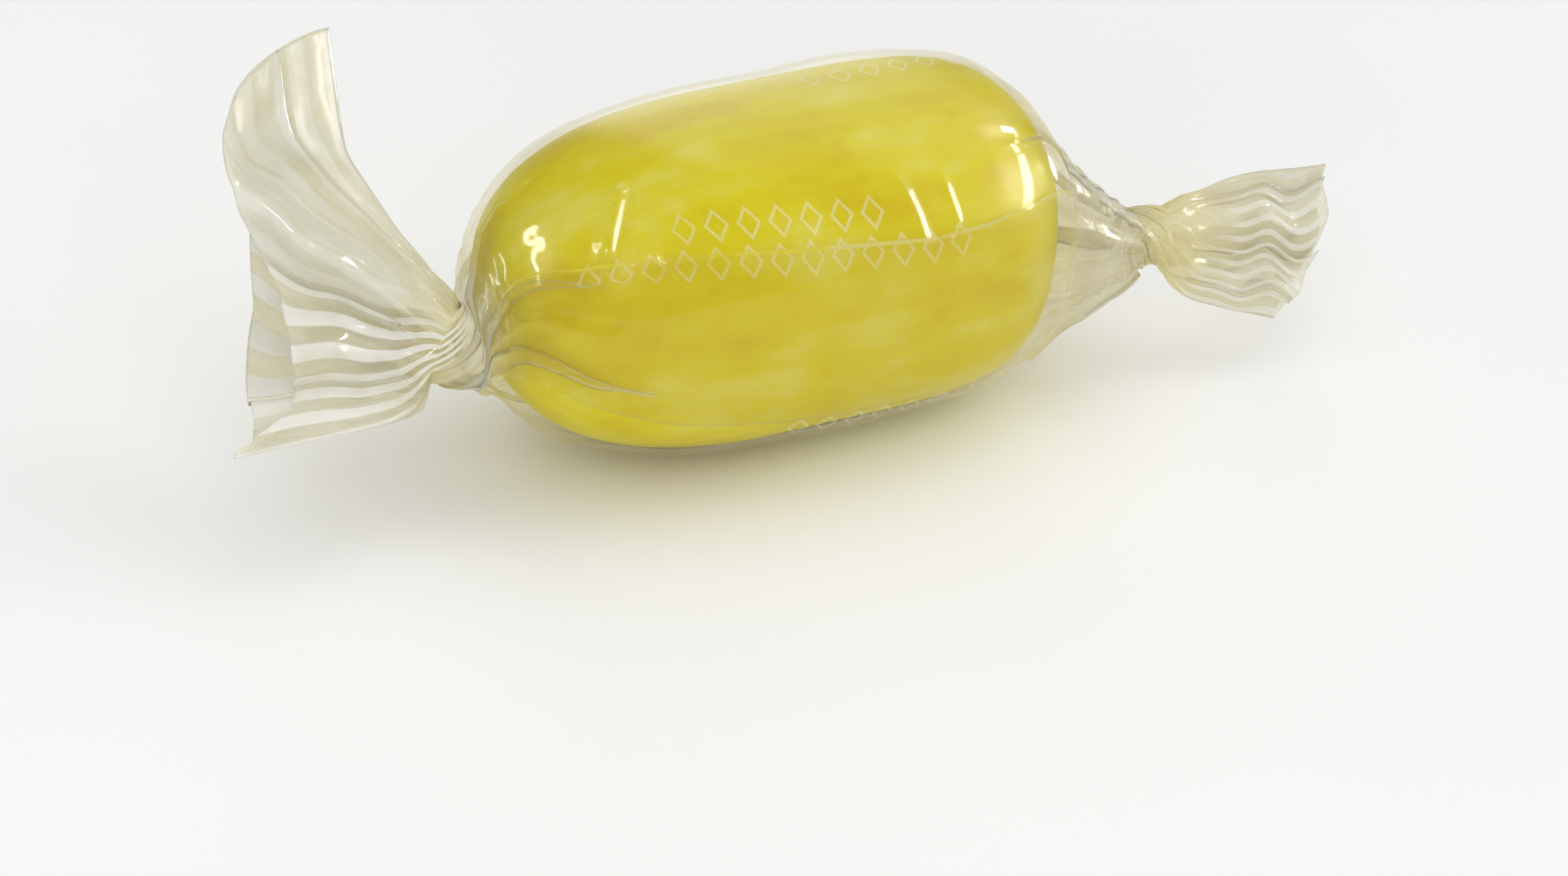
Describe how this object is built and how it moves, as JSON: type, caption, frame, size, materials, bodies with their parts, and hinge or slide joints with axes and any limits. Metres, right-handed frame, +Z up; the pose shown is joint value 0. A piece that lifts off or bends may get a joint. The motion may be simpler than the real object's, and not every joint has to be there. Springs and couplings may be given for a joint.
{
  "type": "wrapped boiled sweet",
  "caption": "Sherbet lemon: a barrel-shaped lemon boiled sweet in clear film twisted at both ends, with pleated fans and white end stripes.",
  "frame": {"origin": "centre of the bounding box at its base, on the surface the sweet rests on", "axes": "+X along the sweet from its left twist to its right twist, +Z up, the small resting flat facing down"},
  "size_m": [0.0582, 0.0186, 0.0219],
  "materials": {
    "boiled_sugar": "satin, slightly clouded",
    "clear_film": "glossy clear film with white print at its ends"
  },
  "bodies": {
    "root": {"boiled_sweet": "boiled_sugar", "wrapper": "clear_film"}
  },
  "joints": []
}
